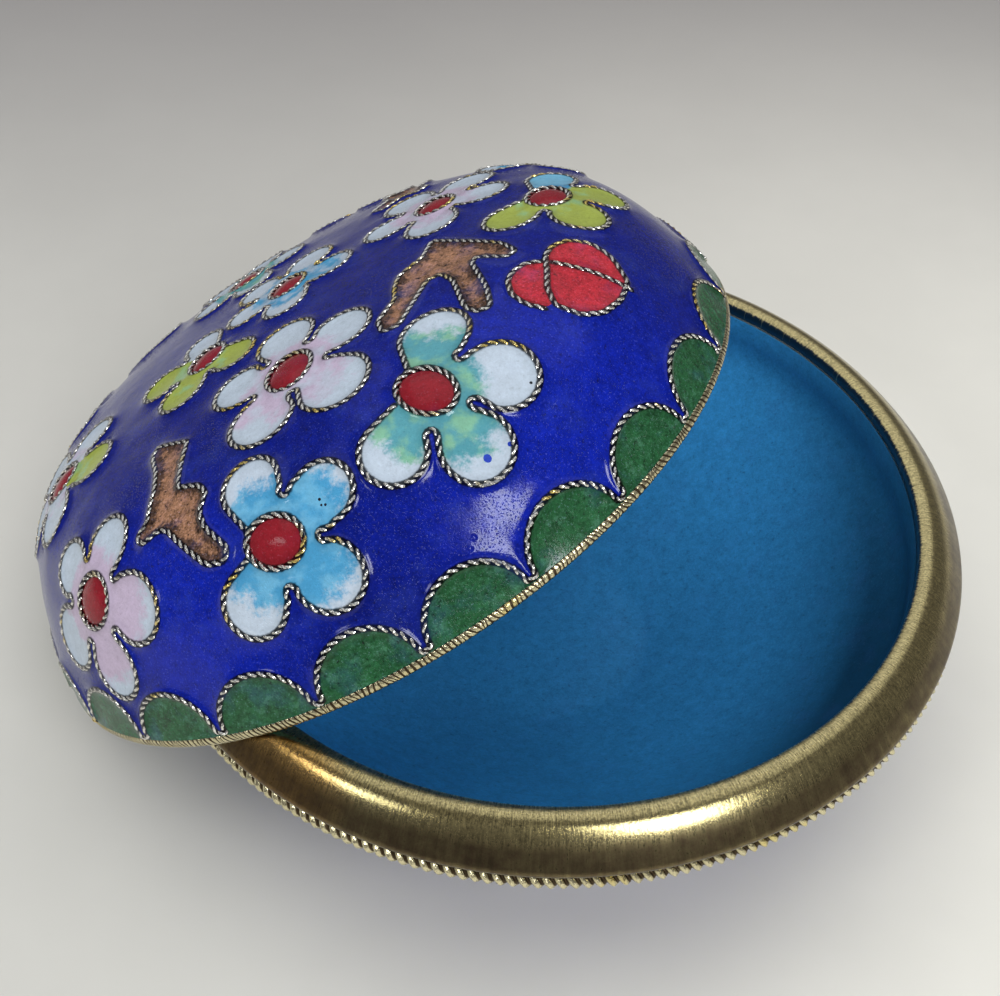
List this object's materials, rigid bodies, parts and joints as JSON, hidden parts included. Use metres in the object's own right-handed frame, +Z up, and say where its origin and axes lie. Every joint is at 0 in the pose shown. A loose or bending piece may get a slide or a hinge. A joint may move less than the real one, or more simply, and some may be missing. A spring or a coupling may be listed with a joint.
{
  "type": "cloisonne trinket box",
  "caption": "Round enamelled metal trinket box with a brass collar; its domed lid, worked with flowers in twisted wire, is off and leans on the collar.",
  "frame": {"origin": "centre of the base's flat underside", "axes": "+Z up along the base's axis; -Y towards the side the picture was taken from; the lid leans towards -X and a little +Y"},
  "size_m": [0.0691, 0.0638, 0.0379],
  "materials": {
    "cobalt_enamel": "glossy glass enamel",
    "turquoise_enamel": "glossy glass enamel",
    "collar_brass": "brushed, tarnished towards the outer edge",
    "gilt_wire": "gilt, worn bright on the crests"
  },
  "bodies": {
    "root": {"base_bowl": "turquoise_enamel", "collar": "collar_brass", "base_rim_wire": "gilt_wire", "base_scallop_wire": "gilt_wire", "lid_shell": "cobalt_enamel", "lid_rim_wire": "gilt_wire", "lid_scallop_wire": "gilt_wire", "teal_flower_wire": "gilt_wire", "teal_eye_wire": "gilt_wire", "sky_flower_wire": "gilt_wire", "sky_eye_wire": "gilt_wire", "blush_flower_wire": "gilt_wire", "blush_eye_wire": "gilt_wire", "rose_flower_wire": "gilt_wire", "rose_eye_wire": "gilt_wire", "lime_flower_wire": "gilt_wire", "lime_eye_wire": "gilt_wire", "ice_flower_wire": "gilt_wire", "ice_eye_wire": "gilt_wire", "violet_flower_wire": "gilt_wire", "violet_eye_wire": "gilt_wire", "olive_flower_wire": "gilt_wire", "olive_eye_wire": "gilt_wire", "cream_flower_wire": "gilt_wire", "cream_eye_wire": "gilt_wire", "frost_flower_wire": "gilt_wire", "frost_eye_wire": "gilt_wire", "shell_flower_wire": "gilt_wire", "shell_eye_wire": "gilt_wire", "moss_flower_wire": "gilt_wire", "moss_eye_wire": "gilt_wire", "dusk_flower_wire": "gilt_wire", "dusk_eye_wire": "gilt_wire", "plum_flower_wire": "gilt_wire", "plum_eye_wire": "gilt_wire", "upper_branch_wire": "gilt_wire", "lower_branch_wire": "gilt_wire", "rear_branch_wire": "gilt_wire", "front_bud_wire": "gilt_wire", "front_calyx_wire": "gilt_wire", "front_bud_divider_wire": "gilt_wire", "rear_bud_wire": "gilt_wire", "rear_calyx_wire": "gilt_wire", "rear_bud_divider_wire": "gilt_wire"}
  },
  "joints": []
}
